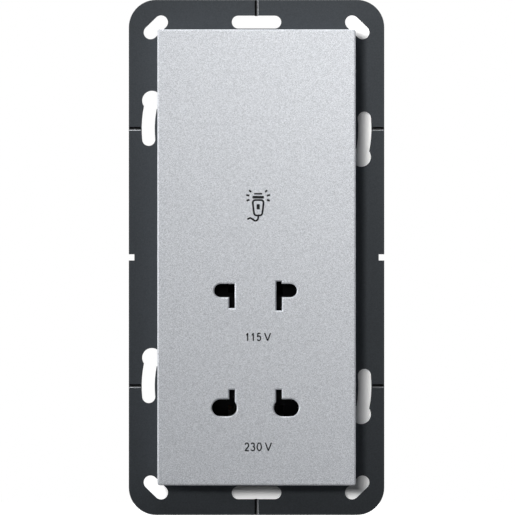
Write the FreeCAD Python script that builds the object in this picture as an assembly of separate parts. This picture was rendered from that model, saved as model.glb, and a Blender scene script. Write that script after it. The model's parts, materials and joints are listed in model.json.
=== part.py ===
import FreeCAD, Part
import math
import os

V = FreeCAD.Vector

# All sizes are in mm. X to the right, Z up, the front faces -Y, the wall plane is y = 0.

# Wall box system
gang_pitch = 71.0
module = 55.0
field_h = gang_pitch + module

# Cover plate
cover_play = 0.35
cover_w = module - cover_play
cover_h = field_h - cover_play
cover_proud = 10.5
cover_front_t = 2.0
cover_wall = 1.6
cover_edge_r = 0.5
cover_corner_r = 0.7
cover_in_w = cover_w - 2 * cover_wall
cover_in_h = cover_h - 2 * cover_wall

# Support frame, its straight slots above and below the cover, slots at the cover's corners
frame_t = 2.0
frame_corner_r = 7.6
end_slot_len = 13.64
end_slot_r = 1.78
end_slot_z = field_h / 2 + 1.95
end_rim = 4.37
frame_h = 2 * (end_slot_z + end_slot_r + end_rim)
corner_slot_r = 1.9
corner_slot_a = (module / 2 + 1.75, field_h / 2 - 0.9)
corner_slot_b = (module / 2 - 1.15, field_h / 2 + 1.9)

# Curved keyholes for the box screws
key_radius = module / 2 + 2.4
key_slot_r = 1.8
key_eye_r = 2.7
key_eye_deg = 15.1
key_end_deg = 5.6
side_rim = 3.55
frame_w = 2 * (key_radius + key_slot_r + side_rim)
notch_depth = 1.53
notch_h = 1.7
groove_w = 1.1
groove_depth = groove_w / 2

# Rear housing and its flange
body_w = module - 7.6
body_h = field_h - 20.0
body_depth = 42.0
body_wall = 1.6
back_wall = 1.8
body_corner_r = 3.0
back_edge_r = 1.2
in_w = body_w - 2 * body_wall
in_h = body_h - 2 * body_wall
window_gap = 0.4
flange_w = cover_in_w - 0.9
flange_h = cover_in_h - 2.2
flange_t = 1.6
flange_r = 2.0
snap_len = 8.0
snap_reach = 0.8
snap_h = 0.7
snap_z = (-44.0, -12.0, 20.0, 48.0)
vent_pitch = 6.0
vent_h = 1.8

# Outlet openings: centre height, end radius, arc centres and upright slots (x0, x1, z top, z bottom)
gang_mid = -gang_pitch / 2
low_z = gang_mid + 26.37
low_r = 1.84
low_left = (-9.87, -7.55, -6.02, low_z + low_r, low_z - 4.85)
low_right = (9.29, 5.43, 6.98, low_z + 2.53, low_z - 5.52)
high_z = gang_mid - 5.93
high_r = 2.37
high_left = (-9.92, -7.74, -7.54, -5.97, high_z + 4.97)
high_right = (7.12, 9.31, 5.36, 6.95, high_z + 4.96)
opening_bevel = 0.35
outlet_mid = (low_z + high_z) / 2

# Depth planes of the insert, front to back
guard_gap = 0.2
guard_t = 1.2
slider_t = 3.2
slider_play = 0.1
floor_t = 1.8
frame_front = -frame_t
flange_front = frame_front - flange_t
cover_front = -cover_proud
cover_back = cover_front + cover_front_t
guard_front = cover_back + guard_gap
guard_back = guard_front + guard_t
slider_front = guard_back + slider_play
slider_back = slider_front + slider_t
floor_front = slider_back + slider_play
floor_back = floor_front + floor_t

# Shutter slider and springs
travel = 4.5
slider_w = 30.0
slider_top = low_right[3] + travel + 2.0
slider_bottom = high_z - high_r - travel - 2.0
slider_side_play = 0.15
ramp_depth = 2.8
spring_seat = 1.2
spring_len = 8.3
spring_coil_r = 1.3
spring_wire_r = 0.2
spring_turns = 6
spring_gap = 0.05
stop_play = 0.3
spring_top = slider_top - spring_seat + spring_len
spring_bottom = slider_bottom + spring_seat - spring_len

# Contact carrier and guard plate
rim_w = cover_in_w - 2.1
rim_top = spring_top + 5.0
rim_bottom = -body_h / 2
tongue_w = 10.0
tongue_bottom = spring_bottom - 2.6
guard_w = 33.6
plug_w = in_w - 0.4
plug_h = in_h - 1.0
socket_w = 32.0
socket_back = 13.0
socket_wall = 1.2
low_block = (low_right[4] - 4.35, low_right[3] + 3.2)
high_block = (high_z - high_r - 5.2, high_left[4] + 5.06)
switch_x = 6.5
pad_z = travel + 0.2
tail_len = 3.5
sheet_t = 0.5
fork_w = 3.4
low_fork_z = low_right[4] + travel - 0.3 - fork_w / 2
high_fork_z = high_left[4] - travel + 0.3 + fork_w / 2

# Transformer, in the proportions of a standard E and I sheet, the largest that the housing takes
core_side_gap = 2.1
core_end_gap = 1.0
wire_room = 5.8
core_room = in_h / 2 - core_end_gap - low_block[1] - wire_room
core_leg = min((in_w - 2 * core_side_gap) / 5, core_room / 6)
core_len = 6 * core_leg
core_width = 5 * core_leg
core_stack = body_depth - 24.0
bobbin_reach = core_stack / 2 + 7.4
coil_reach = bobbin_reach - 1.0
coil_z = 2 * core_leg - 1.0
core_y = body_depth - back_wall - bobbin_reach - 2.8
core_z = in_h / 2 - core_len / 2 - core_end_gap
core_bolt_hole_r = 1.7
bobbin_wall = 1.0
bobbin_gap = 0.35
shelf_t = 2.4
tag_x = core_width / 2 - core_leg + 1.4
cutout_x = (2.4 - core_width / 2 + core_leg, -core_leg / 4)
cutout_tag = 1.9
tag_half = 0.4
tag_len = 3.2
tag_dz = 2 * core_leg - 3.0
tag_places = ((-1, 1), (-1, -1), (1, 1), (1, 0), (1, -1))

# Screws
m3_r = 1.5
m3_head_r = 2.75
m3_head_h = 1.9
small_r = 1.25
small_head_r = 2.4
small_head_h = 1.8
fit = 0.05
drive_w = 0.7
frame_screw_x = body_w / 2 - 5.7
frame_screw_z = body_h / 2 + 4.0
carrier_screw_x = body_w / 2 - 3.4
carrier_screw_z = (rim_bottom + 4.4, rim_top - 3.6)
lid_screw_z = body_h / 2 - 2.8
boss_r = 2.7
boss_back = 9.0
core_post_r = 3.4

# Housing lid
lid_t = 1.6
lid_bottom = rim_top + 0.2
lid_top = body_h / 2
lip_t = 1.4

# Terminal block in the lower back corner of the housing
block_w = body_w - 9.4
block_bottom = -body_h / 2 + 0.2
block_top = block_bottom + 17.2
block_back = body_depth - 0.2
block_front = block_back - 14.8
pole_pitch = 9.6
clamp_w = 6.4
clamp_h = 7.0
clamp_z0 = block_bottom + 4.2
clamp_z1 = clamp_z0 + clamp_h
clamp_z = (clamp_z0 + clamp_z1) / 2
clamp_y0 = block_front + 3.4
clamp_y1 = clamp_y0 + clamp_h
block_screw_x = block_w / 2 - 3.0
block_screw_z = block_top - 3.6
block_seat = block_back - 5.8
block_screw_tip = block_front - 6.0

# Inner leads and their lanes at the side of the sockets
lane_x = in_w / 2 - 5.9
lane_edge = in_w / 2 - 3.5
lead_r = 0.75
lead_bend = 4.0
lead_stub = 2.4
pole_tail_y = block_front - 4.0
pole_tail_z = clamp_z1 - 0.6
tail_end = socket_back + tail_len


def box(x0, x1, y0, y1, z0, z1):
    return Part.makeBox(x1 - x0, y1 - y0, z1 - z0, V(x0, y0, z0))


def rod(x, z, r, y0, y1):
    return Part.makeCylinder(r, y1 - y0, V(x, y0, z), V(0, 1, 0))


def prism(points, axis, a, b):
    """Solid from a closed outline pushed along one axis, from a to b."""
    if axis == "x":
        loop = [V(a, p, q) for p, q in points]
        push = V(b - a, 0, 0)
    elif axis == "y":
        loop = [V(p, a, q) for p, q in points]
        push = V(0, b - a, 0)
    else:
        loop = [V(p, q, a) for p, q in points]
        push = V(0, 0, b - a)
    return Part.Face(Part.makePolygon(loop + [loop[0]])).extrude(push)


def rounded(w, h, r, y0, y1, z=0.0):
    """Upright block with its four corners along Y rounded."""
    block = box(-w / 2, w / 2, y0, y1, z - h / 2, z + h / 2)
    edges = [e for e in block.Edges if abs(e.Vertexes[0].Y - e.Vertexes[1].Y) > 1e-6]
    return block.makeFillet(r, edges)


def obround(xa, za, xb, zb, r, y0, y1):
    """Straight slot with round ends between two centres."""
    dx, dz = xb - xa, zb - za
    n = math.hypot(dx, dz)
    px, pz = -dz / n * r, dx / n * r
    bar = prism([(xa + px, za + pz), (xb + px, zb + pz), (xb - px, zb - pz), (xa - px, za - pz)], "y", y0, y1)
    return bar.fuse([rod(xa, za, r, y0, y1), rod(xb, zb, r, y0, y1)]).removeSplitter()


def union(parts):
    return parts[0].fuse(parts[1:]).removeSplitter() if len(parts) > 1 else parts[0]


def screw(x, z, seat, tip, r, head_r, head_h, back=False):
    """Pan-head slotted screw along Y; its head stands in front of the seat, or behind it."""
    if back:
        shank = rod(x, z, r, tip, seat)
        head = rod(x, z, head_r, seat, seat + head_h)
        drive = box(x - head_r, x + head_r, seat + head_h * 0.5, seat + head_h + 1, z - drive_w / 2, z + drive_w / 2)
    else:
        shank = rod(x, z, r, seat, tip)
        head = rod(x, z, head_r, seat - head_h, seat)
        drive = box(x - head_r, x + head_r, seat - head_h - 1, seat - head_h * 0.5, z - drive_w / 2, z + drive_w / 2)
    return shank.fuse(head).removeSplitter().cut(drive)


def keyhole(turn, zc):
    """Curved keyhole slot about one box centre: round eye at one end, narrow arc to the other."""
    y0, y1 = -frame_t - 1, 1
    a0 = math.radians(180 - key_eye_deg)
    a1 = math.radians(180 + key_end_deg)
    def on(radius, angle):
        return V(turn * radius * math.cos(angle), y0, zc + turn * radius * math.sin(angle))
    mid = (a0 + a1) / 2
    ri, ro = key_radius - key_slot_r, key_radius + key_slot_r
    edges = [
        Part.Arc(on(ro, a0), on(ro, mid), on(ro, a1)).toShape(),
        Part.makeLine(on(ro, a1), on(ri, a1)),
        Part.Arc(on(ri, a1), on(ri, mid), on(ri, a0)).toShape(),
        Part.makeLine(on(ri, a0), on(ro, a0)),
    ]
    band = Part.Face(Part.Wire(edges)).extrude(V(0, y1 - y0, 0))
    eye, end = on(key_radius, a0), on(key_radius, a1)
    return union([band, rod(eye.x, eye.z, key_eye_r, y0, y1), rod(end.x, end.z, key_slot_r, y0, y1)])


def support_frame():
    ring = rounded(frame_w, frame_h, frame_corner_r, -frame_t, 0)
    y0, y1 = -frame_t - 1, 1
    win_w, win_h = body_w + 2 * window_gap, body_h + 2 * window_gap
    cuts = [rounded(win_w, win_h, body_corner_r + window_gap, y0, y1)]
    half = end_slot_len / 2 - end_slot_r
    for s in (1, -1):
        cuts.append(obround(-half, s * end_slot_z, half, s * end_slot_z, end_slot_r, y0, y1))
        for t in (1, -1):
            xa, za = corner_slot_a
            xb, zb = corner_slot_b
            cuts.append(obround(t * xa, s * za, t * xb, s * zb, corner_slot_r, y0, y1))
            cuts.append(keyhole(t, s * gang_pitch / 2))
            x_edge = t * frame_w / 2
            x_in = x_edge - t * notch_depth
            cuts.append(box(min(x_edge + t, x_in), max(x_edge + t, x_in), y0, y1, -notch_h / 2, notch_h / 2))
            cuts.append(rod(t * frame_screw_x, s * frame_screw_z, m3_r + fit, y0, y1))
            v = [(-frame_t - 0.01, -groove_w / 2), (-frame_t - 0.01, groove_w / 2), (-frame_t + groove_depth, 0)]
            v = [(y, s * gang_pitch / 2 + z) for y, z in v]
            a, b = t * (key_radius + 0.3), t * (frame_w / 2 + 1)
            cuts.append(prism(v, "x", min(a, b), max(a, b)))
        v = [(-groove_w / 2, -frame_t - 0.01), (groove_w / 2, -frame_t - 0.01), (0, -frame_t + groove_depth)]
        a, b = s * end_slot_z, s * (frame_h / 2 + 1)
        cuts.append(prism(v, "z", min(a, b), max(a, b)))
    return ring.cut(cuts)


def outlet_openings(grow, y0, y1, shift_low=0.0, shift_high=0.0):
    """The four outlet openings as solids, made larger by grow and moved up or down."""
    out = []
    for arc, s0, s1, top, bottom in (low_left, low_right):
        r, z = low_r + grow, low_z + shift_low
        inner = s1 if arc < 0 else s0
        a, b = min(arc, inner), max(arc, inner)
        if arc < 0:
            b += grow
        else:
            a -= grow
        bar = box(a, b, y0, y1, z - r, z + r)
        slot = box(s0 - grow, s1 + grow, y0, y1, bottom + shift_low - grow, top + shift_low + grow)
        out.append(union([bar, rod(arc, z, r, y0, y1), slot]))
    for ca, cb, s0, s1, top in (high_left, high_right):
        r, z = high_r + grow, high_z + shift_high
        slot = box(s0 - grow, s1 + grow, y0, y1, z, top + shift_high + grow)
        out.append(union([obround(ca, z, cb, z, r, y0, y1), slot]))
    return out


def flare(x0, x1, z0, z1, left=1, right=1):
    """Four-sided lead-in that widens by the bevel towards the front."""
    y0, y1, g = cover_front - 0.1, cover_front + opening_bevel, opening_bevel + 0.1
    return Part.makeWedge(x0 - left * g, y0, z0 - g, z0, x0, x1 + right * g, y1, z1 + g, z1, x1)


def cone_flare(x, z, r):
    y0, g = cover_front - 0.1, opening_bevel + 0.1
    return Part.makeCone(r + g, r, g, V(x, y0, z), V(0, 1, 0))


def opening_bevels():
    """Slanted lead-ins around the four openings, cut into the front face."""
    out = []
    for arc, s0, s1, top, bottom in (low_left, low_right):
        r = low_r
        if arc < 0:
            bar = flare(arc, s1, low_z - r, low_z + r, left=0)
        else:
            bar = flare(s0, arc, low_z - r, low_z + r, right=0)
        out.append(union([bar, cone_flare(arc, low_z, r), flare(s0, s1, bottom, top)]))
    for ca, cb, s0, s1, top in (high_left, high_right):
        r = high_r
        bar = flare(ca, cb, high_z - r, high_z + r, left=0, right=0)
        slot = flare(s0, s1, high_z, top)
        out.append(union([bar, cone_flare(ca, high_z, r), cone_flare(cb, high_z, r), slot]))
    return out


def cover_plate():
    outer = rounded(cover_w, cover_h, cover_corner_r, cover_front, frame_front)
    rim = [e for e in outer.Edges if all(abs(v.Y - cover_front) < 1e-6 for v in e.Vertexes)]
    outer = outer.makeFillet(cover_edge_r, rim)
    hollow = box(-cover_in_w / 2, cover_in_w / 2, cover_back, 1, -cover_in_h / 2, cover_in_h / 2)
    cap = outer.cut(hollow)
    cap = cap.cut(outlet_openings(0, cover_front - 1, cover_back + 1))
    cap = cap.cut(opening_bevels())
    inner_x = cover_in_w / 2
    grip = []
    for s in (1, -1):
        for z in snap_z:
            a, b = s * (inner_x + 0.3), s * (inner_x - snap_reach)
            grip.append(box(min(a, b), max(a, b), frame_front - snap_h + 0.1, frame_front - 0.05,
                            z - snap_len / 2, z + snap_len / 2))
    ribs = [box(-inner_x, inner_x, cover_back - 0.2, cover_back + 2.4, z - 0.5, z + 0.5) for z in (24.0, 40.0)]
    return cap.fuse(grip + ribs)


def guard_plate():
    """Black plate in front of the shutter, with the same openings as the cover."""
    w = guard_w / 2 - 0.15
    top = rim_top - 1.7
    plate = box(-w, w, guard_front, guard_back, rim_bottom + 0.95, top)
    tongue = box(-tongue_w / 2 + 1.2, tongue_w / 2 - 1.2, guard_front, guard_back, tongue_bottom + 1.2, rim_bottom + 1.2)
    return union([plate, tongue]).cut(outlet_openings(0.25, guard_front - 1, guard_back + 1))


def shutter_slider():
    plate = box(-slider_w / 2, slider_w / 2, slider_front, slider_back, slider_bottom, slider_top)
    cuts = outlet_openings(0.25, slider_front - 1, slider_back + 1, travel, -travel)
    deep = slider_front + ramp_depth
    for arc, s0, s1, top, bottom in (low_left, low_right):
        low = low_z - low_r - 0.25
        a, b = min(arc - low_r, s0) - 0.25, max(arc + low_r, s1) + 0.25
        tri = [(slider_front - 0.01, low), (slider_front - 0.01, low + travel + 1), (deep, low + travel + 1), (deep, low + travel)]
        cuts.append(prism(tri, "x", a, b))
    for ca, cb, s0, s1, top in (high_left, high_right):
        high = high_z + high_r + 0.25
        tri = [(slider_front - 0.01, high), (slider_front - 0.01, high - travel - 1), (deep, high - travel - 1), (deep, high - travel)]
        cuts.append(prism(tri, "x", ca - high_r - 0.25, cb + high_r + 0.25))
    cuts.append(box(-8.3, 8.3, slider_back - 1.0, slider_back + 1, outlet_mid - 2.3, outlet_mid + 2.3))
    for z0, z1 in ((slider_top - spring_seat, slider_top), (slider_bottom, slider_bottom + spring_seat)):
        cuts.append(box(-1.9, 1.9, slider_front - 1, slider_back + 1, z0, z1))
    return plate.cut(cuts)


def return_spring(z0, z1):
    """Open coil between the slider and the end of its pocket, its wire six-sided and in short chords."""
    y = (slider_front + slider_back) / 2
    low = z0 + spring_wire_r + spring_gap
    rise = z1 - z0 - 2 * (spring_wire_r + spring_gap)
    chords = 12 * spring_turns
    sections = []
    for k in range(chords + 1):
        turn = 2 * math.pi * k / 12
        loop = []
        for side in range(6):
            tilt = 2 * math.pi * side / 6
            reach = spring_coil_r + spring_wire_r * math.cos(tilt)
            z = low + rise * k / chords + spring_wire_r * math.sin(tilt)
            loop.append(V(reach * math.cos(turn), y + reach * math.sin(turn), z))
        sections.append(Part.makePolygon(loop + [loop[0]]))
    return Part.makeLoft(sections, True, True)


def contact_carrier():
    """Black moulding that holds the contacts and guides the slider; its rim rests on the housing flange."""
    half = rim_w / 2
    rim = box(-half, half, guard_front, flange_front, rim_bottom, rim_top)
    tongue = box(-tongue_w / 2, tongue_w / 2, guard_front, flange_front, tongue_bottom, rim_bottom + 0.5)
    floor = box(-plug_w / 2, plug_w / 2, flange_front - 0.1, floor_back, -plug_h / 2, rim_top)
    low = box(-socket_w / 2, socket_w / 2, floor_back - 0.5, socket_back, *low_block)
    high = box(-socket_w / 2, socket_w / 2, floor_back - 0.5, socket_back, *high_block)
    body = union([rim, tongue, floor, low, high])
    g, t = guard_w / 2, tongue_w / 2 - 1.05
    cuts = [
        box(-g, g, guard_front - 1, guard_back, rim_bottom + 0.8, rim_top - 1.55),
        box(-t, t, guard_front - 1, guard_back, tongue_bottom + 1.05, rim_bottom + 1),
    ]
    sw = slider_w / 2 + slider_side_play
    low_stop = slider_bottom - travel - stop_play
    cuts.append(box(-sw, sw, guard_back - 0.1, floor_front, low_stop, slider_top + travel + stop_play))
    cuts.append(box(-2.2, 2.2, guard_back - 0.1, floor_front, spring_bottom, spring_top))
    cuts.append(box(-sw, sw, guard_back - 0.1, flange_front, low_stop, -plug_h / 2 - 0.01))
    cuts.append(box(-2.2, 2.2, guard_back - 0.1, flange_front, spring_bottom, -plug_h / 2 - 0.01))
    cuts += outlet_openings(0.25, floor_front - 1, floor_back + 1)
    for z0, z1 in (low_block, high_block):
        for s in (1, -1):
            a, b = s * 3.0, s * (socket_w / 2 - 1.4)
            cuts.append(box(min(a, b), max(a, b), floor_back, socket_back + 1, z0 + socket_wall, z1 - socket_wall))
    bar_y = socket_back - 4.0
    cuts.append(box(7.4, 10.4, bar_y, socket_back + 1, low_block[0] - 1, low_block[0] + 2))
    cuts.append(box(7.4, 10.4, bar_y, socket_back + 1, high_block[1] - 2, high_block[1] + 1))
    for s in (1, -1):
        for t in (1, -1):
            x, z = s * switch_x, outlet_mid + t * pad_z
            cuts.append(box(x - 1.6, x + 1.6, floor_front - 1, floor_back + 1, z - 2.1, z + 2.1))
        for z in carrier_screw_z:
            x = s * carrier_screw_x
            cuts.append(rod(x, z, small_head_r + 0.3, guard_front - 1, flange_front - 1.8))
            cuts.append(rod(x, z, small_r + 0.25, guard_front, floor_back + 1))
            a, b = s * (carrier_screw_x - boss_r - 0.5), s * body_w / 2
            cuts.append(box(min(a, b), max(a, b), flange_front, floor_back + 1, z - boss_r - 0.5, z + boss_r + 0.5))
    return body.cut(cuts)


def leaf_pair(axis, centre, other, gap, wide, y0, y1, reach):
    """Two spring leaves that narrow to a waist and flare at the mouth."""
    leaves = []
    t = sheet_t
    for s in (1, -1):
        line = [(y0, gap / 2 + 0.9), (y0 + 2.6, gap / 2), (y1, reach)]
        pts = [(y, centre + s * w) for y, w in line] + [(y, centre + s * (w + t)) for y, w in reversed(line)]
        if axis == "z":
            leaves.append(prism(pts, "x", other - wide / 2, other + wide / 2))
        else:
            flipped = [(c, y) for y, c in pts]
            leaves.append(prism(flipped, "z", other - wide / 2, other + wide / 2))
    return leaves


def outlet_contact(pin_x, pin_gap, blade_x, z, blade_z):
    """Sheet contact: a fork for a round pin, a fork for the far half of a flat blade, one back plate."""
    y0, yb = floor_back + 0.8, socket_back - 2.6
    half = fork_w / 2
    parts = leaf_pair("z", z, pin_x, pin_gap, fork_w, y0, yb + 0.2, 3.2)
    parts += leaf_pair("x", blade_x, blade_z, 1.1, fork_w, y0, yb + 0.2, 1.3)
    s = 1 if pin_x > 0 else -1
    a, b, c = s * (abs(blade_x) - 2.2), s * (abs(pin_x) - half), s * (abs(pin_x) + half)
    parts.append(box(min(b, c), max(b, c), yb, yb + sheet_t, z - 3.7, z + 3.7))
    parts.append(box(min(a, c), max(a, c), yb, yb + sheet_t, blade_z - half, blade_z + half))
    return parts


def tail(x, z, y0, y1):
    return box(x - 1.2, x + 1.2, y0, y1, z - sheet_t / 2, z + sheet_t / 2)


def contact_low():
    parts = outlet_contact(-9.6, 2.4, -6.8, low_z, low_fork_z)
    return union(parts + [tail(-9.6, low_z, socket_back - 2.3, tail_end)])


def contact_high():
    parts = outlet_contact(-9.6, 3.4, -6.8, high_z, high_fork_z)
    return union(parts + [tail(-7.6, high_z, socket_back - 2.3, tail_end)])


def contact_common():
    parts = outlet_contact(9.2, 2.4, 6.2, low_z, low_fork_z)
    parts += outlet_contact(9.2, 3.4, 6.2, high_z, high_fork_z)
    yb = socket_back - 2.6
    parts.append(box(7.8, 10.0, yb, yb + sheet_t, high_z, low_z))
    parts.append(tail(9.2, low_z, yb + 0.3, tail_end))
    return union(parts)


def bridge_contact():
    """Thin strip in the back of the slider with two raised contact points."""
    y, z = slider_back, outlet_mid
    strip = box(-8.0, 8.0, y - 0.9, y - 0.5, z - 2.0, z + 2.0)
    points = [box(x - 1.0, x + 1.0, y - 0.6, y + 0.02, z - 0.9, z + 0.9) for x in (-switch_x, switch_x)]
    return union([strip] + points)


def switch_contact(s):
    """Fixed contact of the primary switch: pads above and below the rest place, joined behind the floor."""
    x, z, half = s * switch_x, outlet_mid, pad_z + 2.0
    parts = [box(x - 1.5, x + 1.5, floor_back, floor_back + sheet_t, z - half, z + half)]
    for t in (1, -1):
        parts.append(box(x - 1.5, x + 1.5, floor_front + 0.02, floor_back + 0.1, z + t * pad_z - 2.0, z + t * pad_z + 2.0))
    parts.append(box(x - 0.25, x + 0.25, floor_back + 0.2, socket_back, z - 1.2, z + 1.2))
    return union(parts)


def rear_housing():
    shell = rounded(body_w, body_h, body_corner_r, flange_front, body_depth)
    back = [e for e in shell.Edges if all(abs(v.Y - body_depth) < 1e-6 for v in e.Vertexes)]
    shell = shell.makeFillet(back_edge_r, back)
    within = rounded(body_w, body_h, body_corner_r, flange_front, body_depth)
    flange = rounded(flange_w, flange_h, flange_r, flange_front, frame_front)
    hollow = rounded(in_w, in_h, body_corner_r - body_wall, flange_front - 1, body_depth - back_wall)
    case = union([shell, flange]).cut(hollow)
    boss_places = [(s * carrier_screw_x, z) for s in (1, -1) for z in carrier_screw_z + (lid_screw_z,)]
    adds = []
    for x, z in boss_places:
        a, b = x, math.copysign(body_w / 2, x)
        web = box(min(a, b), max(a, b), flange_front, boss_back, z - boss_r, z + boss_r)
        adds.append(rod(x, z, boss_r, flange_front, boss_back).fuse(web).common(within))
    for s in (1, -1):
        a, b = s * (block_screw_x - 2.7), s * (body_w / 2 - 0.5)
        adds.append(box(min(a, b), max(a, b), block_front - 8.0, block_front - 0.15,
                        block_screw_z - 2.8, block_screw_z + 2.8))
    for x, z in core_bolt_places():
        adds.append(rod(x, z, core_post_r, core_y + core_stack / 2, body_depth - 0.4))
    case = case.fuse(adds).removeSplitter()
    cuts = [rod(x, z, small_r + fit, flange_front - 1, boss_back - 1.0) for x, z in boss_places]
    for x, z in core_bolt_places():
        cuts.append(rod(x, z, m3_r + fit, core_y, body_depth - 3.4))
    for s in (1, -1):
        cuts.append(rod(s * block_screw_x, block_screw_z, small_r + fit, block_screw_tip - 1.0, block_front))
        for t in (1, -1):
            cuts.append(rod(s * frame_screw_x, t * frame_screw_z, m3_r + 0.25, flange_front - 1, 1))
        for z in snap_z:
            a, b = s * (flange_w / 2 + 1), s * (cover_in_w / 2 - snap_reach - 0.15)
            cuts.append(box(min(a, b), max(a, b), frame_front - snap_h, frame_front + 1,
                            z - snap_len / 2 - 0.3, z + snap_len / 2 + 0.3))
        for k in range(7):
            z = core_z + vent_pitch * (k - 3)
            a, b = s * (in_w / 2 - 1), s * (body_w / 2 + 1)
            cuts.append(box(min(a, b), max(a, b), core_y - 8.0, core_y + 8.0, z - vent_h / 2, z + vent_h / 2))
    hw = block_w / 2 + 0.15
    cuts.append(box(-hw, hw, block_front - 0.15, body_depth + 1, -body_h / 2 - 1, block_top + 0.15))
    return case.cut(cuts)


def housing_lid():
    """Cover of the transformer space; a lip under it fits the housing mouth."""
    plate = box(-rim_w / 2, rim_w / 2, flange_front - lid_t, flange_front, lid_bottom, lid_top)
    p, deep = plug_w / 2, flange_front + lid_t
    lip = box(-p, p, flange_front - 0.1, deep, lid_bottom, plug_h / 2)
    lip_in = box(-p + lip_t, p - lip_t, flange_front, deep + 1, lid_bottom + lip_t, plug_h / 2 - lip_t)
    lid = union([plate, lip.cut(lip_in)])
    cuts = []
    for s in (1, -1):
        cuts.append(rod(s * carrier_screw_x, lid_screw_z, small_r + 0.25, flange_front - 9, deep + 1))
        a, b = s * (carrier_screw_x - boss_r - 0.5), s * body_w / 2
        for z in (lid_screw_z, carrier_screw_z[1]):
            cuts.append(box(min(a, b), max(a, b), flange_front, deep + 1, z - boss_r - 0.5, z + boss_r + 1.5))
    for k in range(5):
        z = core_z + 5.0 * (k - 2)
        cuts.append(box(-11.0, 11.0, flange_front - 3, deep + 1, z - 0.8, z + 0.8))
    return lid.cut(cuts)


def core_bolt_places():
    """Corners of the core, first the upper pair, each from left to right."""
    x, dz = (core_width - core_leg) / 2, (core_len - core_leg) / 2
    return [(s * x, core_z + t * dz) for t in (1, -1) for s in (-1, 1)]


def transformer_core():
    hx, hz = core_width / 2, core_len / 2
    y0, y1 = core_y - core_stack / 2, core_y + core_stack / 2
    core = box(-hx, hx, y0, y1, core_z - hz, core_z + hz)
    cuts = [rod(x, z, core_bolt_hole_r, y0 - 1, y1 + 1) for x, z in core_bolt_places()]
    for t in (1, -1):
        a, b = core_z + t * core_leg, core_z + t * 2 * core_leg
        cuts.append(box(-hx + core_leg, hx - core_leg, y0 - 1, y1 + 1, min(a, b), max(a, b)))
    return core.cut(cuts)


def ring_block(x0, x1, y_in, y_out, z_in, z_out, r_out, r_in):
    """Square ring around the middle leg of the core, its axis along X."""
    def solid(hy, hz, r, a, b):
        blk = box(a, b, core_y - hy, core_y + hy, core_z - hz, core_z + hz)
        edges = [e for e in blk.Edges if abs(e.Vertexes[0].X - e.Vertexes[1].X) > 1e-6]
        return blk.makeFillet(r, edges)
    return solid(y_out, z_out, r_out, x0, x1).cut(solid(y_in, z_in, r_in, x0 - 1, x1 + 1))


def winding_bobbin():
    ix = core_width / 2 - core_leg
    y_in = core_stack / 2 + bobbin_gap
    z_in = core_leg + bobbin_gap
    x1 = ix - 0.3
    rings = [ring_block(-x1, x1, y_in, y_in + bobbin_wall, z_in, z_in + bobbin_wall, 0.8, 0.3)]
    for a in (-x1, -0.5, x1 - bobbin_wall):
        rings.append(ring_block(a, a + bobbin_wall, y_in, bobbin_reach, z_in, core_leg * 2 - 0.3, 0.8, 0.3))
    yf = core_y - bobbin_reach
    for s in (1, -1):
        a, b = s * (x1 - bobbin_wall), s * (x1 + 3.4)
        rings.append(box(min(a, b), max(a, b), yf, yf + shelf_t, core_z - coil_z, core_z + coil_z))
    holes = []
    for side, dz in tag_places:
        x, z = side * tag_x, core_z + dz * tag_dz
        h = tag_half + fit
        holes.append(box(x - h, x + h, yf - 1, yf + 2.0, z - h, z + h))
    return union(rings).cut(holes)


def winding(side):
    ix = core_width / 2 - core_leg - 0.3 - bobbin_wall
    y_in = core_stack / 2 + bobbin_gap + bobbin_wall
    z_in = core_leg + bobbin_gap + bobbin_wall
    a, b = sorted((side * 0.5, side * ix))
    return ring_block(a, b, y_in, coil_reach, z_in, coil_z, 3.0, 0.8)


def winding_tag(side, dz):
    """Square solder pin held in the front shelf of the bobbin."""
    yf = core_y - bobbin_reach
    x, z, h = side * tag_x, core_z + dz * tag_dz, tag_half
    return box(x - h, x + h, yf - tag_len, yf + shelf_t - 0.4, z - h, z + h)


def thermal_cutout():
    """Small moulded switch lying on the primary winding, one tag at each end."""
    y1 = core_y - coil_reach
    x0, x1 = cutout_x
    body = box(x0, x1, y1 - 4.0, y1, core_z - core_leg, core_z + core_leg)
    body = body.makeFillet(0.8, [e for e in body.Edges if abs(e.Vertexes[0].Z - e.Vertexes[1].Z) > 1e-6])
    y = y1 - 2.1
    tags = [box(x0 + cutout_tag - 0.9, x0 + cutout_tag + 0.9, y - 0.2, y + 0.2, core_z + core_leg - 0.5, core_z + core_leg + 3.0),
            box(x1 - cutout_tag - 0.9, x1 - cutout_tag + 0.9, y - 0.2, y + 0.2, core_z - core_leg - 3.0, core_z - core_leg + 0.5)]
    return union([body] + tags)


def terminal_block():
    hw = block_w / 2
    block = box(-hw, hw, block_front, block_back, block_bottom, block_top)
    cuts = []
    for k in (-1, 0, 1):
        x, h = k * pole_pitch, clamp_w / 2 + 0.2
        wire_y = clamp_y0 + 2.6
        cuts.append(box(x - h, x + h, clamp_y0 - 0.2, clamp_y1 + 0.6, clamp_z0 - 0.2, block_top + 1))
        cuts.append(Part.makeCylinder(2.1, 6, V(x, wire_y, block_bottom - 1), V(0, 0, 1)))
        cuts.append(rod(x, clamp_z, 2.2, clamp_y1, body_depth + 1))
        cuts.append(box(x - 1.5, x + 1.5, block_front - 1, clamp_y0 + 0.1, clamp_z1 - 1.3, clamp_z1 + 0.3))
    for x in (-block_screw_x, block_screw_x):
        cuts.append(rod(x, block_screw_z, small_r + 0.25, block_front - 1, body_depth + 1))
        cuts.append(rod(x, block_screw_z, small_head_r + 0.3, block_seat, body_depth + 1))
    return block.cut(cuts)


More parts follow.
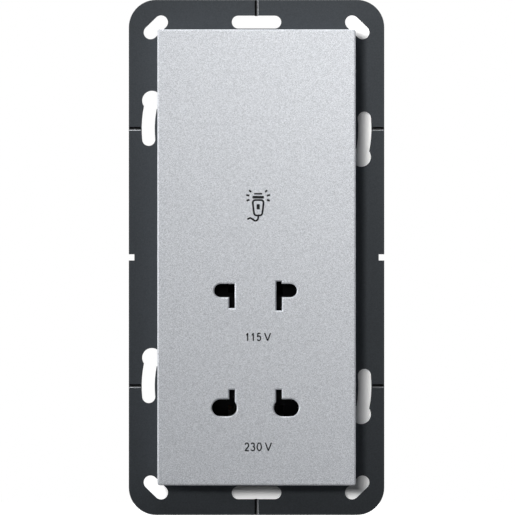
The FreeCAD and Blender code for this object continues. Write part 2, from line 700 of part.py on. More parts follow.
def terminal_clamp(k):
    """Square cage with a threaded wall for the screw and a tail for the inner lead."""
    x, h = k * pole_pitch, clamp_w / 2
    cage = box(x - h, x + h, clamp_y0, clamp_y1, clamp_z0, clamp_z1)
    wire_way = box(x - 2.0, x + 2.0, clamp_y0 + 1.2, clamp_y1 - 2.0, clamp_z0 - 1, clamp_z1 + 1)
    cage = cage.cut([wire_way, rod(x, clamp_z, m3_r + fit, clamp_y1 - 2.5, clamp_y1 + 1)])
    return union([cage, box(x - 1.2, x + 1.2, pole_tail_y, clamp_y0 + 0.5, clamp_z1 - 1.0, clamp_z1 - 0.2)])


def terminal_screw(k):
    return screw(k * pole_pitch, clamp_z, clamp_y1 + 0.8, clamp_y1 - 4.2, m3_r, 2.0, 2.2, back=True)


def lead(points, first, last):
    """Insulated wire through a list of points, square to what it joins at both ends, bends rounded."""
    pts = [V(*p) for p in points]
    pts.insert(1, pts[0] + V(*first) * lead_stub)
    pts.insert(-1, pts[-1] - V(*last) * lead_stub)
    edges, at = [], pts[0]
    for before, corner, after in zip(pts, pts[1:], pts[2:]):
        u, w = before - corner, after - corner
        room = 0.48 * min(u.Length, w.Length)
        u.normalize()
        w.normalize()
        half = u.getAngle(w) / 2
        if half > math.radians(88.5):
            continue
        cut = min(lead_bend / math.tan(half), room)
        r = cut * math.tan(half)
        mid = u + w
        mid.normalize()
        p, q = corner + u * cut, corner + w * cut
        edges.append(Part.makeLine(at, p))
        edges.append(Part.Arc(p, corner + mid * (r / math.sin(half) - r), q).toShape())
        at = q
    edges.append(Part.makeLine(at, pts[-1]))
    ring = Part.Wire([Part.makeCircle(lead_r, pts[0], V(*first))])
    return Part.Wire(edges).makePipeShell([ring], True, False)


def leads():
    """Every inner wire, from the piece it starts on to the piece it ends on."""
    pin_y = core_y - bobbin_reach - 2.0
    cut_y = core_y - coil_reach - 2.1
    cut_z = core_leg + 3.0
    core_low = core_z - core_len / 2
    run_y = tail_end + lead_stub
    turn_z = low_block[1] - 2.6
    rise_z = core_low + 3.6
    over_z = low_block[1] + 1.2
    pole, side = pole_pitch, tag_x + tag_half
    front, back, up, left = (0, -1, 0), (0, 1, 0), (0, 0, 1), (-1, 0, 0)
    return {
        "lead_live": lead([(-pole, pole_tail_y, pole_tail_z), (-pole - 3.4, run_y + 1.6, pole_tail_z + 8),
                           (-pole - 1.2, run_y + 1.6, over_z - 1.8), (cutout_x[1] - cutout_tag, cut_y, rise_z),
                           (cutout_x[1] - cutout_tag, cut_y, core_z - cut_z)], front, up),
        "lead_cutout": lead([(cutout_x[0] + cutout_tag, cut_y, core_z + cut_z),
                             (-tag_x + tag_half, pin_y, core_z + tag_dz)], up, left),
        "lead_neutral": lead([(pole, pole_tail_y, pole_tail_z), (switch_x, socket_back, outlet_mid)], front, front),
        "lead_switch": lead([(-switch_x, socket_back, outlet_mid), (0.2 - lane_x, run_y - 1.4, over_z),
                             (1.0 - lane_x, pin_y, rise_z), (-tag_x, pin_y, core_z - tag_dz - tag_half)], back, up),
        "lead_common": lead([(9.2, tail_end, low_z), (10.5, run_y - 1.0, over_z - 0.4), (tag_x, pin_y, rise_z - 1.5),
                             (tag_x, pin_y, core_z - tag_dz - tag_half)], back, up),
        "lead_115": lead([(-9.6, tail_end, low_z), (-2.0, run_y - 1.5, turn_z), (tag_x - 4.8, pin_y, rise_z + 4.5),
                          (lane_x, pin_y, core_z - core_leg / 2), (side, pin_y, core_z)], back, left),
        "lead_230": lead([(-7.6, tail_end, high_z), (4.0, run_y, outlet_mid), (lane_x, run_y - 1.4, over_z),
                          (lane_x, pin_y, rise_z), (lane_edge, pin_y, core_z - core_leg),
                          (lane_edge, pin_y, core_z + tag_dz - 2.6),
                          (side, pin_y, core_z + tag_dz)], back, left),
        "lead_earth": lead([(0.0, pole_tail_y, pole_tail_z), (0.0, core_y, core_low)], front, up),
    }


def build_all():
    parts = {
        "support_frame": support_frame(),
        "cover_plate": cover_plate(),
        "guard_plate": guard_plate(),
        "shutter_slider": shutter_slider(),
        "return_spring_upper": return_spring(slider_top - spring_seat, spring_top),
        "return_spring_lower": return_spring(spring_bottom, slider_bottom + spring_seat),
        "contact_carrier": contact_carrier(),
        "contact_115": contact_low(),
        "contact_230": contact_high(),
        "contact_common": contact_common(),
        "bridge_contact": bridge_contact(),
        "switch_contact_left": switch_contact(-1),
        "switch_contact_right": switch_contact(1),
        "rear_housing": rear_housing(),
        "housing_lid": housing_lid(),
        "transformer_core": transformer_core(),
        "winding_bobbin": winding_bobbin(),
        "primary_winding": winding(-1),
        "secondary_winding": winding(1),
        "thermal_cutout": thermal_cutout(),
        "terminal_block": terminal_block(),
    }
    for name, k in (("live", -1), ("earth", 0), ("neutral", 1)):
        parts["terminal_clamp_" + name] = terminal_clamp(k)
        parts["terminal_screw_" + name] = terminal_screw(k)
    corners = [(s, t) for t in (1, -1) for s in (-1, 1)]
    for n, (s, t) in enumerate(corners, 1):
        parts["frame_screw_%d" % n] = screw(s * frame_screw_x, t * frame_screw_z, flange_front, -0.1,
                                            m3_r, m3_head_r, m3_head_h)
        z = carrier_screw_z[1] if t > 0 else carrier_screw_z[0]
        parts["carrier_screw_%d" % n] = screw(s * carrier_screw_x, z, flange_front - 1.8, boss_back - 3.0,
                                              small_r, small_head_r, small_head_h)
    for n, (x, z) in enumerate(core_bolt_places(), 1):
        parts["core_bolt_%d" % n] = screw(x, z, core_y - core_stack / 2, body_depth - 4.4,
                                          m3_r, m3_head_r, m3_head_h)
    for n, (side, dz) in enumerate(tag_places, 1):
        parts["winding_tag_%d" % n] = winding_tag(side, dz)
    for n, s in ((1, -1), (2, 1)):
        parts["block_screw_%d" % n] = screw(s * block_screw_x, block_screw_z, block_seat, block_screw_tip,
                                            small_r, small_head_r, small_head_h, back=True)
        parts["lid_screw_%d" % n] = screw(s * carrier_screw_x, lid_screw_z, flange_front - lid_t, boss_back - 3.0,
                                          small_r, small_head_r, small_head_h)
    parts.update(leads())
    return parts


os.makedirs("parts", exist_ok=True)
for name, shape in build_all().items():
    state = "ok" if shape.isValid() and len(shape.Solids) == 1 else "CHECK"
    print(name, state, len(shape.Solids), round(shape.Volume, 1))
    shape.exportStep("parts/" + name + ".step")
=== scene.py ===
import json
import math

import bmesh
import bpy
from mathutils import Matrix, Vector


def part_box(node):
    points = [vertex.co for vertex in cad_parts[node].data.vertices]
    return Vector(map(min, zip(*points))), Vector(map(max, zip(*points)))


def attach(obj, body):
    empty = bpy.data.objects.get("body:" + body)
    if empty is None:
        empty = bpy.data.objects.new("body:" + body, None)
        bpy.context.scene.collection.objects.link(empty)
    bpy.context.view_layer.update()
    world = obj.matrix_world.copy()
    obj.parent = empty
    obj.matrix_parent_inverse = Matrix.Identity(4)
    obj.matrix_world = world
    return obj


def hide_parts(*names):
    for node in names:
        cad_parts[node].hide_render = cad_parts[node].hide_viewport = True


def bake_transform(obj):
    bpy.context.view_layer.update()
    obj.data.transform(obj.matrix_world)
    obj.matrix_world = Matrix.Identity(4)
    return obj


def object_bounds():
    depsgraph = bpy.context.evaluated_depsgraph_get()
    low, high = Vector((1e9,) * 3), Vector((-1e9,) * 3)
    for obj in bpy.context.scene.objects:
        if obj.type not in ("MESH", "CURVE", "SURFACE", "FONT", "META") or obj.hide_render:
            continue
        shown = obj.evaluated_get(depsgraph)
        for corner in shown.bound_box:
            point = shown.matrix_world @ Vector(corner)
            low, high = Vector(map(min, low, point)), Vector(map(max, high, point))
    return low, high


# The socket as it comes off the assembly bench: its solids with their record.
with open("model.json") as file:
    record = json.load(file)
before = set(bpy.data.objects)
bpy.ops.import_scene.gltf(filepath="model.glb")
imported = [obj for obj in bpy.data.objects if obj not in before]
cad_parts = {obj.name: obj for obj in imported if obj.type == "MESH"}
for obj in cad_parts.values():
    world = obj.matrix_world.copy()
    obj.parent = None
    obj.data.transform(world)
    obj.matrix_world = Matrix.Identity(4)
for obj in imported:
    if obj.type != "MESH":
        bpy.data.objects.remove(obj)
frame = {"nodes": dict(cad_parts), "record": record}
cad_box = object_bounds()

# Support frame: one flat ring moulded in glass-filled polyester, dyed anthracite in the mass.
# The mould is spark-eroded, which leaves a fine even grain and a low, broad sheen.
MM = 0.001
node_slots = {part["node"]: part["material_slot"] for part in frame["record"]["subparts"]}


def linear(code):
    """A hex colour as the eye reads it, turned to the linear values of a shader."""
    out = []
    for i in (0, 2, 4):
        c = int(code[i:i + 2], 16) / 255
        out.append(c / 12.92 if c <= 0.04045 else ((c + 0.055) / 1.055) ** 2.4)
    return (*out, 1.0)


def add(tree, kind, settings=None, links=None):
    """One shader node with its settings, fed by the given outputs."""
    new = tree.nodes.new("ShaderNode" + kind)
    for name, value in (settings or {}).items():
        if isinstance(name, int) or name in new.inputs:
            new.inputs[name].default_value = value
        else:
            setattr(new, name, value)
    for name, source in (links or {}).items():
        tree.links.new(source, new.inputs[name])
    return new


def new_material(name):
    """An empty material with its output, and the piece's own coordinates in metres."""
    made = bpy.data.materials.new(name)
    made.use_nodes = True
    tree = made.node_tree
    tree.nodes.clear()
    output = add(tree, "OutputMaterial")
    place = add(tree, "TexCoord").outputs["Object"]
    return made, tree, output, place


def finish_with(tree, output, settings, links=None):
    """The material's surface, with what is the same all over set on its own sockets."""
    surface = add(tree, "BsdfPrincipled", settings, links)
    tree.links.new(surface.outputs["BSDF"], output.inputs["Surface"])


def dress(material, slot):
    """Gives every solid of one material slot its finish."""
    for node, name in node_slots.items():
        if name == slot:
            for place in frame["nodes"][node].material_slots:
                place.material = material


# Spark-eroded grain is some tenths of a millimetre across; its tone wavers a little with the glass in the mass.
FRAME_GRAIN = 0.35 * MM
frame_polyester, tree, output, place = new_material("glass-filled polyester, anthracite")
grain = add(tree, "TexNoise", {"Scale": 1 / FRAME_GRAIN, "Detail": 3.0}, {"Vector": place})
tone = add(tree, "ValToRGB", links={"Fac": grain.outputs["Fac"]})
for stop, position, code in zip(tone.color_ramp.elements, (0.25, 0.75), ("404448", "494d52")):
    stop.position = position
    stop.color = linear(code)
relief = add(tree, "Bump", {"Strength": 0.35, "Distance": 0.02 * MM}, {"Height": grain.outputs["Fac"]})
finish_with(tree, output, {"Roughness": 0.5, "IOR": 1.5, "Specular IOR Level": 0.05},
            {"Base Color": tone.outputs["Color"], "Normal": relief.outputs["Normal"]})
dress(frame_polyester, "frame_plastic")

# Six score lines mark the middles of the frame, V grooves with walls at 45 degrees. Their look is painted light.
# Each wall
# is a thin skin: near black as painted shade above and to the left, bright metal as a painted highlight below and
# to the right.
SCORE = 1.1 * MM
SCORE_COVERED = 0.95
SKIN = 0.02 * MM
FRAME_FACE = -2.0 * MM
FRAME_END_SCORE_MM = (66.6, 70.9)
FRAME_SIDE_SCORE_MM = (32.0, 35.1)
GANG_MIDDLE_MM = 35.5
score_lines = []
for way in (1, -1):
    inner, outer = FRAME_END_SCORE_MM
    score_lines.append((True, *sorted((way * inner, way * outer)), 0.0))
for way in (1, -1):
    inner, outer = FRAME_SIDE_SCORE_MM
    for middle in (GANG_MIDDLE_MM, -GANG_MIDDLE_MM):
        score_lines.append((False, *sorted((way * inner, way * outer)), middle))


def mesh_from(name, shape):
    """The finished mesh of a bmesh, which is freed."""
    mesh = bpy.data.meshes.new(name)
    shape.to_mesh(mesh)
    shape.free()
    return mesh


def stand(name, data):
    """A new object at the origin of the scene, unturned."""
    thing = bpy.data.objects.new(name, data)
    bpy.context.scene.collection.objects.link(thing)
    return thing


def score_walls(name, side, material):
    """One wall of every score line, from its root: upper and left ones with side 1, the others with -1."""
    covered = SCORE_COVERED * SCORE
    shape = bmesh.new()
    for upright, start, end, middle in score_lines:
        wall = bmesh.ops.create_cube(shape, size=1.0)["verts"]
        bmesh.ops.scale(shape, vec=((end - start) * MM, SKIN, covered / math.sqrt(2) - SKIN), verts=wall)
        bmesh.ops.rotate(shape, matrix=Matrix.Rotation(side * math.pi / 4, 3, "X"), verts=wall)
        at = ((start + end) / 2 * MM, FRAME_FACE + SCORE / 2 - covered / 4 - SKIN,
              side * (covered / 4 - SKIN) + middle * MM)
        bmesh.ops.translate(shape, vec=at, verts=wall)
        if upright:
            bmesh.ops.rotate(shape, matrix=Matrix.Rotation(-math.pi / 2, 3, "Y"), verts=wall)
    mesh = mesh_from(name, shape)
    mesh.materials.append(material)
    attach(stand(name, mesh), "casing")


# The painted shade skin is matt and almost black. The painted highlight skin is smooth metal that mirrors the pale
# surroundings softly.
score_painted_shade, tree, output, place = new_material("painted shade, near black")
finish_with(tree, output,
            {"Base Color": linear("0a0b0c"), "Roughness": 0.6, "IOR": 1.44, "Specular IOR Level": 0.05})
score_walls("score_lines_upper_painted_shade", 1, score_painted_shade)
score_painted_highlight, tree, output, place = new_material("painted highlight, bright metal")
finish_with(tree, output, {"Base Color": linear("8c8e91"), "Metallic": 1.0, "Roughness": 0.5})
score_walls("score_lines_lower_painted_highlight", -1, score_painted_highlight)


# Rear housing and its lid: black flame-proof polycarbonate blend, moulded, with a fine matt grain.
# The housing drops through the ring from the front and hangs on its flange.
HOUSING_GRAIN = 0.5 * MM
housing_blend, tree, output, place = new_material("polycarbonate blend, black, matt moulded")
grain = add(tree, "TexNoise", {"Scale": 1 / HOUSING_GRAIN, "Detail": 2.0}, {"Vector": place})
relief = add(tree, "Bump", {"Strength": 0.3, "Distance": 0.03 * MM}, {"Height": grain.outputs["Fac"]})
finish_with(tree, output, {"Base Color": linear("26272a"), "Roughness": 0.5, "IOR": 1.58},
            {"Normal": relief.outputs["Normal"]})
dress(housing_blend, "housing_plastic")


# Transformer core: silicon steel sheets half a millimetre thick, stacked front to back and varnished.
# The sheet edges show as fine lines across the stack, dark where the varnish sits.
SHEET = 0.5 * MM
WAVE_RADIANS = 20  # what a wave texture turns through for each unit of its scale
core_steel, tree, output, place = new_material("silicon steel sheets, varnished")
edges = add(tree, "TexWave", {"wave_type": "BANDS", "bands_direction": "Y", "Distortion": 0.4,
                              "Scale": math.tau / SHEET / WAVE_RADIANS}, {"Vector": place})
tone = add(tree, "ValToRGB", links={"Fac": edges.outputs["Fac"]})
for stop, code in zip(tone.color_ramp.elements, ("3b3c3f", "84868a")):
    stop.color = linear(code)
finish_with(tree, output, {"Metallic": 0.9, "Roughness": 0.45}, {"Base Color": tone.outputs["Color"]})
dress(core_steel, "core_steel")


# Bobbin: natural nylon in one moulding with two chambers, pushed into the core before the last sheets.
# Nylon lets a little light in, so it looks waxy, and its tone is a little cloudy.
BOBBIN_CLOUD = 4 * MM
bobbin_nylon, tree, output, place = new_material("nylon, natural, moulded")
cloud = add(tree, "TexNoise", {"Scale": 1 / BOBBIN_CLOUD}, {"Vector": place})
tone = add(tree, "ValToRGB", links={"Fac": cloud.outputs["Fac"]})
for stop, code in zip(tone.color_ramp.elements, ("d9d5c4", "e6e3d6")):
    stop.color = linear(code)
finish_with(tree, output,
            {"Roughness": 0.38, "IOR": 1.53, "Subsurface Weight": 0.15, "Subsurface Scale": 0.5 * MM},
            {"Base Color": tone.outputs["Color"]})
dress(bobbin_nylon, "bobbin_plastic")


# Windings: enamelled copper wire laid side by side round the middle leg, so each turn is a thin bright rib.
# The enamel gives the copper a deep red-brown gloss.
WIRE = 0.4 * MM
winding_copper, tree, output, place = new_material("copper wire, enamelled")
turns = add(tree, "TexWave", {"wave_type": "BANDS", "bands_direction": "X", "Distortion": 0.3,
                              "Scale": math.tau / WIRE / WAVE_RADIANS}, {"Vector": place})
relief = add(tree, "Bump", {"Strength": 0.9, "Distance": 0.1 * MM}, {"Height": turns.outputs["Fac"]})
finish_with(tree, output,
            {"Base Color": linear("9a4a26"), "Metallic": 0.85, "Roughness": 0.28,
             "Coat Weight": 0.6, "Coat Roughness": 0.1},
            {"Normal": relief.outputs["Normal"]})
dress(winding_copper, "winding_wire")


# Terminal block and thermal cut-out: hard thermosets pressed hot, one pale, one dark brown. The block is screwed
# into the lower back corner of the housing, the cut-out lies on the winding. Both have a slight gloss.
def pressed_resin(name, slot, colour, roughness, cloud_mm, strength, depth_mm):
    made, tree, output, place = new_material(name)
    cloud = add(tree, "TexNoise", {"Scale": 1 / (cloud_mm * MM)}, {"Vector": place})
    relief = add(tree, "Bump", {"Strength": strength, "Distance": depth_mm * MM}, {"Height": cloud.outputs["Fac"]})
    finish_with(tree, output, {"Base Color": linear(colour), "Roughness": roughness, "IOR": 1.6},
                {"Normal": relief.outputs["Normal"]})
    dress(made, slot)


pressed_resin("urea resin, light grey, pressed", "terminal_plastic", "d2d3d1", 0.32, 3, 0.15, 0.05)
pressed_resin("phenolic resin, dark brown, pressed", "cutout_case", "2c211c", 0.4, 0.8, 0.3, 0.04)


# Metal small parts: contacts and clamps bent from strip, turned tags, headed screws and bolts, and spring wire.
# Each is drawn, rolled or pressed, so a faint grain breaks up its reflections.
def metal(name, slot, colour, roughness, grain_mm, depth_mm):
    made, tree, output, place = new_material(name)
    streaks = add(tree, "TexNoise", {"Scale": 1 / (grain_mm * MM), "Detail": 2.0}, {"Vector": place})
    relief = add(tree, "Bump", {"Strength": 0.4, "Distance": depth_mm * MM}, {"Height": streaks.outputs["Fac"]})
    finish_with(tree, output, {"Base Color": linear(colour), "Metallic": 1.0, "Roughness": roughness},
                {"Normal": relief.outputs["Normal"]})
    dress(made, slot)
    return made


metal("brass, turned and pressed", "brass", "c9a25c", 0.3, 0.6, 0.01)
metal("spring bronze sheet, rolled and aged", "bronze", "5f5042", 0.45, 0.8, 0.008)
metal("brass pin, tinned", "tinned_brass", "c9c9c6", 0.35, 0.4, 0.01)
metal("steel screw, zinc plated", "zinc_steel", "c4c7ca", 0.3, 0.5, 0.012)
spring_wire = metal("spring steel wire, drawn", "spring_steel", "9a9c9f", 0.28, 0.3, 0.008)


# Return springs: six turns of drawn wire each. In the socket the far end of each stays in the contact carrier and
# the near end follows the shutter. Here each coil is merged into one mesh that stays as it is at rest.
WELD = 0.001 * MM
for node, far, near in (("return_spring_upper", 1, -1), ("return_spring_lower", -1, 1)):
    shape = bmesh.new()
    shape.from_mesh(frame["nodes"][node].data)
    bmesh.ops.remove_doubles(shape, verts=shape.verts, dist=WELD)
    coil = stand(node + "_coil", mesh_from(node + "_coil", shape))
    coil.data.materials.append(spring_wire)
    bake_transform(coil)
    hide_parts(node)


# Inner leads: stranded copper in smooth extruded insulation, one colour for each duty.
# They run from the terminal block past the transformer to the contacts, and shine faintly along their length.
def insulation(slot, name, colour):
    made, tree, output, place = new_material("insulation, " + name + ", extruded")
    cloud = add(tree, "TexNoise", {"Scale": 1 / (1.5 * MM)}, {"Vector": place})
    relief = add(tree, "Bump", {"Strength": 0.12, "Distance": 0.03 * MM}, {"Height": cloud.outputs["Fac"]})
    finish_with(tree, output, {"Base Color": linear(colour), "Roughness": 0.35, "IOR": 1.5},
                {"Normal": relief.outputs["Normal"]})
    dress(made, slot)


insulation("wire_brown", "brown", "5a3420")
insulation("wire_blue", "blue", "1f5fb0")
insulation("wire_green", "green", "4f8a2e")
insulation("wire_black", "black", "1c1c1e")
insulation("wire_white", "white", "e2e1dd")
insulation("wire_red", "red", "6e1513")


# Guard plate, shutter and contact carrier: black polyamide mouldings, the shutter sliding between the other two.
# They are matt and very dark, so the openings of the cover read as plain black.
CARRIER_GRAIN = 0.4 * MM
carrier_polyamide, tree, output, place = new_material("polyamide, black, matt moulded")
grain = add(tree, "TexNoise", {"Scale": 1 / CARRIER_GRAIN, "Detail": 2.0}, {"Vector": place})
relief = add(tree, "Bump", {"Strength": 0.25, "Distance": 0.02 * MM}, {"Height": grain.outputs["Fac"]})
finish_with(tree, output,
            {"Base Color": linear("070708"), "Roughness": 0.62, "IOR": 1.5, "Specular IOR Level": 0.06},
            {"Normal": relief.outputs["Normal"]})
dress(carrier_polyamide, "black_plastic")


# Cover plate: moulded plastic sprayed with a metallic lacquer of fine aluminium flake under a matt clear coat.
# The flakes lie nearly flat and each catches the light a little differently, so the surface has a fine sparkle.
# Real flakes are about 0.05 mm; here they are drawn at 0.13 mm so that they still show in the picture.
FLAKE = 0.13 * MM
cover_lacquer, tree, output, place = new_material("aluminium lacquer on plastic, sprayed")
flakes = add(tree, "TexVoronoi", {"Scale": 1 / FLAKE, "Randomness": 1.0}, {"Vector": place})
single = add(tree, "SeparateColor", links={"Color": flakes.outputs["Color"]})
tone = add(tree, "ValToRGB", links={"Fac": single.outputs["Red"]})
for stop, code in zip(tone.color_ramp.elements, ("a8acb3", "e4e7ed")):
    stop.color = linear(code)
relief = add(tree, "Bump", {"Strength": 0.25, "Distance": 0.015 * MM}, {"Height": flakes.outputs["Distance"]})
finish_with(tree, output, {"Metallic": 0.2, "Roughness": 0.5},
            {"Base Color": tone.outputs["Color"], "Normal": relief.outputs["Normal"]})
dress(cover_lacquer, "cover_lacquer")


# Marks on the cover: voltage figures and a plain shaver sign, pad printed in one dark grey ink that dries matt.
# The ink film stands two hundredths of a millimetre proud of the lacquer, and its tone wavers with the pad's grain.
INK_FILM = 0.02 * MM
INK_CLOUD = 0.5 * MM
PEN = 0.36 * MM
cover_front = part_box("cover_plate")[0][1]
ink, tree, output, place = new_material("pad printing ink, dark grey")
cloud = add(tree, "TexNoise", {"Scale": 1 / INK_CLOUD}, {"Vector": place})
tone = add(tree, "ValToRGB", links={"Fac": cloud.outputs["Fac"]})
for stop, code in zip(tone.color_ramp.elements, ("101114", "1a1b1f")):
    stop.color = linear(code)
finish_with(tree, output, {"Roughness": 0.5, "IOR": 1.5, "Specular IOR Level": 0.12},
            {"Base Color": tone.outputs["Color"]})


def lay_print(name, mesh):
    """Turns a print drawn in the XY plane upright, thins it to the ink film and lays it on the cover."""
    deep = max(v.co.z for v in mesh.vertices) - min(v.co.z for v in mesh.vertices)
    mesh.transform(Matrix.Rotation(math.pi / 2, 4, "X"))
    mesh.transform(Matrix.Diagonal((1, INK_FILM / deep, 1, 1)))
    mesh.transform(Matrix.Translation((0, cover_front - INK_FILM / 2, 0)))
    mesh.materials.clear()
    mesh.materials.append(ink)
    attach(stand(name, mesh), "casing")


def pen_lines(name, lines, width=PEN):
    """Printed lines of one width, each through its own points in millimetres."""
    curve = bpy.data.curves.new(name, "CURVE")
    curve.dimensions = "3D"
    curve.bevel_depth = width / 2
    curve.bevel_resolution = 1
    curve.use_fill_caps = True
    for points in lines:
        spline = curve.splines.new("POLY")
        spline.points.add(len(points) - 1)
        for point, (x, z) in zip(spline.points, points):
            point.co = (x * MM, z * MM, 0, 1)
    helper = stand(name, curve)
    mesh = bpy.data.meshes.new_from_object(helper.evaluated_get(bpy.context.evaluated_depsgraph_get()))
    bpy.data.objects.remove(helper)
    lay_print(name, mesh)


def bow(x, z, wide, high, start, end, steps=14):
    """Points along part of an ellipse, from one angle to another in degrees."""
    turns = [math.radians(start + (end - start) * k / steps) for k in range(steps + 1)]
    return [(x + wide * math.cos(t), z + high * math.sin(t)) for t in turns]


# Each figure is pen strokes in a box one unit wide and one unit high, like plain engineering type.
FIGURES = {
    "0": [bow(0.5, 0.5, 0.5, 0.5, 90, 450, 24)],
    "1": [[(0.05, 0.72), (0.8, 0.98)], [(0.85, 1.05), (0.85, -0.05)]],
    "2": [bow(0.48, 0.7, 0.46, 0.3, 165, -28) + [(0.05, 0.02)], [(-0.05, 0.0), (1.0, 0.0)]],
    "3": [bow(0.44, 0.75, 0.4, 0.25, 155, -90), bow(0.44, 0.26, 0.48, 0.26, 90, -155)],
    "5": [[(0.92, 1.0), (0.14, 1.0)], [(0.2, 1.0), (0.1, 0.48)], bow(0.46, 0.32, 0.5, 0.32, 140, -155)],
    "V": [[(0.0, 1.05), (0.5, -0.02)], [(0.5, -0.02), (1.0, 1.05)]],
}


def figures(name, base_mm, height_mm, signs):
    """Figures on one base line, each between its own left and right edge."""
    half = PEN / MM / 2
    lines = []
    for sign, left, right in signs:
        wide, high = right - left - 2 * half, height_mm - 2 * half
        for stroke in FIGURES[sign]:
            lines.append([(left + half + u * wide, base_mm + half + v * high) for u, v in stroke])
    pen_lines(name, lines)


figures("figures_115", -23.1, 2.36,
        [("1", -3.0, -2.2), ("1", -1.45, -0.65), ("5", 0.0, 1.35), ("V", 2.05, 4.05)])
figures("figures_230", -53.43, 2.46,
        [("2", -3.36, -1.95), ("3", -1.75, -0.25), ("0", 0.0, 1.5), ("V", 2.25, 4.27)])


# The sign is a plain upright shaver: body outline with a switch, a cutting head and a short curled cord.
# Its places are in millimetres on the cover; SIGN_X is its middle.
SIGN_X = 0.45
SIGN_PEN = 0.52 * MM
pen_lines("sign_outline", [
    bow(SIGN_X + 0.75, 15.05, 0.75, 0.75, 0, 90, 6) + bow(SIGN_X - 0.75, 15.05, 0.75, 0.75, 90, 180, 6)
    + bow(SIGN_X - 0.45, 12.5, 0.75, 0.95, 180, 270, 6) + bow(SIGN_X + 0.45, 12.5, 0.75, 0.95, 270, 360, 6)
    + [(SIGN_X + 1.5, 15.05)],
    [(SIGN_X, 11.55), (SIGN_X, 11.0)] + bow(SIGN_X - 0.75, 10.85, 0.75, 0.75, 0, -150, 8)
    + [(SIGN_X - 2.2, 10.9), (SIGN_X - 3.0, 10.5)],
], SIGN_PEN)


def sign_block(name, low, high, corner):
    """A filled block of the sign with rounded corners."""
    shape = bmesh.new()
    bmesh.ops.create_cube(shape, size=1.0)
    bmesh.ops.scale(shape, vec=((high[0] - low[0]) * MM, (high[1] - low[1]) * MM, PEN), verts=shape.verts)
    middle = ((low[0] + high[0]) / 2 * MM, (low[1] + high[1]) / 2 * MM, 0)
    bmesh.ops.translate(shape, vec=middle, verts=shape.verts)
    upright = [e for e in shape.edges if abs(e.verts[0].co.z - e.verts[1].co.z) > PEN / 2]
    bmesh.ops.bevel(shape, geom=upright, offset=corner * MM, segments=4, profile=0.5,
                    affect="EDGES", material=-1)
    lay_print(name, mesh_from(name, shape))


sign_block("sign_switch", (SIGN_X - 0.45, 13.2), (SIGN_X + 0.45, 14.7), 0.2)
sign_block("sign_head", (SIGN_X - 1.6, 16.2), (SIGN_X + 1.6, 16.95), 0.2)
sign_block("sign_foil", (SIGN_X - 1.15, 17.3), (SIGN_X + 1.15, 17.75), 0.15)
hum_strokes = ((2.4, 15.9, 3.2, 15.6), (2.4, 17.0, 3.3, 17.2), (1.9, 18.0, 2.5, 18.5))
pen_lines("sign_hum", [[(SIGN_X + way * x0, z0), (SIGN_X + way * x1, z1)]
                       for way in (-1, 1) for x0, z0, x1, z1 in hum_strokes], SIGN_PEN)


# Studio: a pale floor just under the part and a white surround that only the eye and reflections see.
# The floor grows whiter away from the part, so that it runs into the surround and still keeps the shadow,
# and it throws little light back up, because the part really sits in a wall. From below it is see-through.
def seen_white(tree):
    """One for the eye's own rays and for those that a surface mirrors or lets through, nought for the rest."""
    path = add(tree, "LightPath")
    mirrored = add(tree, "Math", {"operation": "MAXIMUM"},
                   {0: path.outputs["Is Camera Ray"], 1: path.outputs["Is Glossy Ray"]})
    all_three = add(tree, "Math", {"operation": "MAXIMUM"},
                    {0: mirrored.outputs[0], 1: path.outputs["Is Transmission Ray"]})
    return all_three.outputs[0]


FLOOR_GAP = 1.5 * MM
FLOOR_HALF = 0.35
WHITE_AT_PART = 0.45
WHITER_PER_METRE = 1.4
shape = bmesh.new()
bmesh.ops.create_grid(shape, x_segments=1, y_segments=1, size=FLOOR_HALF)
bmesh.ops.translate(shape, vec=(0, 0, cad_box[0][2] - FLOOR_GAP), verts=shape.verts)
floor = stand("floor", mesh_from("floor", shape))
floor_paper, tree, output, place = new_material("studio paper, white")
seen = seen_white(tree)
paper_tone = add(tree, "MixRGB", {"Color1": linear("484848"), "Color2": linear("d8d8d8")}, {"Fac": seen})
away = add(tree, "VectorMath", {"operation": "LENGTH"}, {0: place})
paler = add(tree, "Math", {"operation": "MULTIPLY_ADD", 1: WHITER_PER_METRE, 2: WHITE_AT_PART},
            {0: away.outputs["Value"]})
own_white = add(tree, "Math", {"operation": "MULTIPLY"}, {0: paler.outputs[0], 1: seen})
own = add(tree, "BsdfPrincipled", {"Roughness": 0.9, "Emission Color": (1, 1, 1, 1)},
          {"Base Color": paper_tone.outputs[0], "Emission Strength": own_white.outputs[0]})
clear = add(tree, "BsdfTransparent")
side = add(tree, "NewGeometry")
choice = add(tree, "MixShader", links={"Fac": side.outputs["Backfacing"],
                                       1: own.outputs["BSDF"], 2: clear.outputs[0]})
tree.links.new(choice.outputs[0], output.inputs["Surface"])
floor.data.materials.append(floor_paper)

# A white card lies behind the right and lower slots, as the wall would, so that they show white. The cover's shadow
# on it is
# partly real and partly painted: the card's own glow is painted light that rises away from the cover's edges, so
# that the shadow thins out. It is there for the eye alone and only from the front.
CARD_STRIPS_MM = ((24.1, 32.0, -68.0, 68.0), (-32.0, 24.1, -68.0, -59.9))
CARD_BEHIND = 0.1 * MM
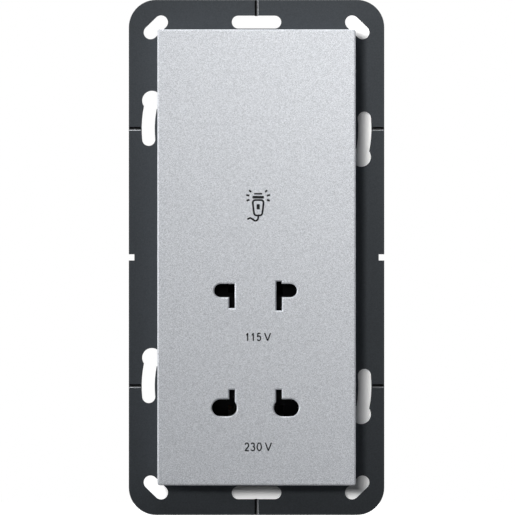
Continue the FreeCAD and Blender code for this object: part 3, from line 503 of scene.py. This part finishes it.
# The painted light that thins out the cover's shadow on the card: its axis, by how much it rises for each metre,
# and where that starts, in millimetres.
CARD_PAINTED_SHADOW = (("X", 98.0, 27.8), ("Z", -185.0, -63.9), ("X", -300.0, -22.5), ("Z", 300.0, 59.8))
shape = bmesh.new()
for x0, x1, z0, z1 in CARD_STRIPS_MM:
    strip = bmesh.ops.create_grid(shape, x_segments=1, y_segments=1, size=0.5)["verts"]
    bmesh.ops.rotate(shape, matrix=Matrix.Rotation(math.pi / 2, 3, "X"), verts=strip)
    bmesh.ops.scale(shape, vec=((x1 - x0) * MM, 1, (z1 - z0) * MM), verts=strip)
    bmesh.ops.translate(shape, vec=((x0 + x1) / 2 * MM, CARD_BEHIND, (z0 + z1) / 2 * MM), verts=strip)
card = stand("card", mesh_from("card", shape))
card_paper, tree, output, place = new_material("studio card, white, with painted shadow")
across = add(tree, "SeparateXYZ", links={"Vector": place})
# Painted light: the card's glow is nought along the cover's edges and rises away from them, so it paints where the
# shadow ends.
painted_light = None
for axis, thinning, start_mm in CARD_PAINTED_SHADOW:
    term = add(tree, "Math", {"operation": "MULTIPLY_ADD", "use_clamp": True, 1: thinning,
                              2: -thinning * start_mm * MM}, {0: across.outputs[axis]})
    if painted_light is not None:
        term = add(tree, "Math", {"operation": "MAXIMUM"}, {0: painted_light.outputs[0], 1: term.outputs[0]})
    painted_light = term
paper = add(tree, "BsdfPrincipled",
            {"Base Color": linear("f6f6f6"), "Roughness": 0.9, "Emission Color": (1, 1, 1, 1)},
            {"Emission Strength": painted_light.outputs[0]})
clear = add(tree, "BsdfTransparent")
rays = add(tree, "LightPath")
side = add(tree, "NewGeometry")
front = add(tree, "Math", {"operation": "SUBTRACT", "use_clamp": True},
            {0: rays.outputs["Is Camera Ray"], 1: side.outputs["Backfacing"]})
choice = add(tree, "MixShader", links={"Fac": front.outputs[0], 1: clear.outputs[0], 2: paper.outputs[0]})
tree.links.new(choice.outputs[0], output.inputs["Surface"])
card.data.materials.append(card_paper)

# The surround is plain white for the eye and gives the part itself only a faint cool light.
world = bpy.data.worlds.new("studio")
world.use_nodes = True
tree = world.node_tree
tree.nodes.clear()
plain = add(tree, "Background", {"Color": (1, 1, 1, 1), "Strength": 1.0})
dim = add(tree, "Background", {"Color": (0.8, 0.9, 1.0, 1), "Strength": 0.055})
choice = add(tree, "MixShader", links={"Fac": seen_white(tree), 1: dim.outputs[0], 2: plain.outputs[0]})
add(tree, "OutputWorld", links={"Surface": choice.outputs[0]})
bpy.context.scene.world = world


# Lamps: a soft box up to the left whose light thins out towards the foot of the part, two strip boxes
# beside and above it that only catch edges, a weak one from the right and one behind for the housing.
def lamp(name, place_mm, aim_mm, size_mm, watts, spread=180, colour=(1, 1, 1)):
    """A square soft box at one place, aimed at another; a spread under 180 degrees narrows its light."""
    light = bpy.data.lights.new(name, "AREA")
    light.color = colour
    light.shape = "SQUARE"
    light.size = size_mm * MM
    light.energy = watts
    light.spread = math.radians(spread)
    holder = stand(name, light)
    holder.location = Vector(place_mm) * MM
    holder.rotation_euler = (Vector(aim_mm) - Vector(place_mm)).to_track_quat("-Z", "Y").to_euler()


lamp("key lamp", (-138, -1200, 450), (300, 0, 318), 600, 2.0, 28, (1.0, 0.985, 0.955))
lamp("left edge lamp", (-420, -60, 20), (0, -10, 0), 70, 0.9)
lamp("top edge lamp", (-40, -60, 480), (0, -10, 0), 70, 1.2)
lamp("right lamp", (400, 160, 160), (0, 0, 20), 200, 0.15)
lamp("back lamp", (260, 620, 320), (0, 0, 0), 420, 2.0)

# Camera: square to the cover, far back with a long lens, as the picture was taken. It looks at a plane just
# behind the cover's front, where the picture is PICTURE_MM wide.
PICTURE_MM = 142.0
VIEW_SHIFT_MM = (0.263, -0.03)
DISTANCE_MM = 5000.0
BEHIND_FRONT_MM = 4.0
camera = bpy.data.cameras.new("camera")
camera.sensor_width = 36.0
camera.lens = camera.sensor_width * DISTANCE_MM / PICTURE_MM
camera.clip_start = 0.1
camera.clip_end = 30.0
tripod = stand("camera", camera)
camera_y = (cover_front / MM + BEHIND_FRONT_MM - DISTANCE_MM) * MM
tripod.location = (VIEW_SHIFT_MM[0] * MM, camera_y, VIEW_SHIFT_MM[1] * MM)
tripod.rotation_euler = (math.pi / 2, 0, 0)
bpy.context.scene.camera = tripod
bpy.context.scene.view_settings.view_transform = "Standard"
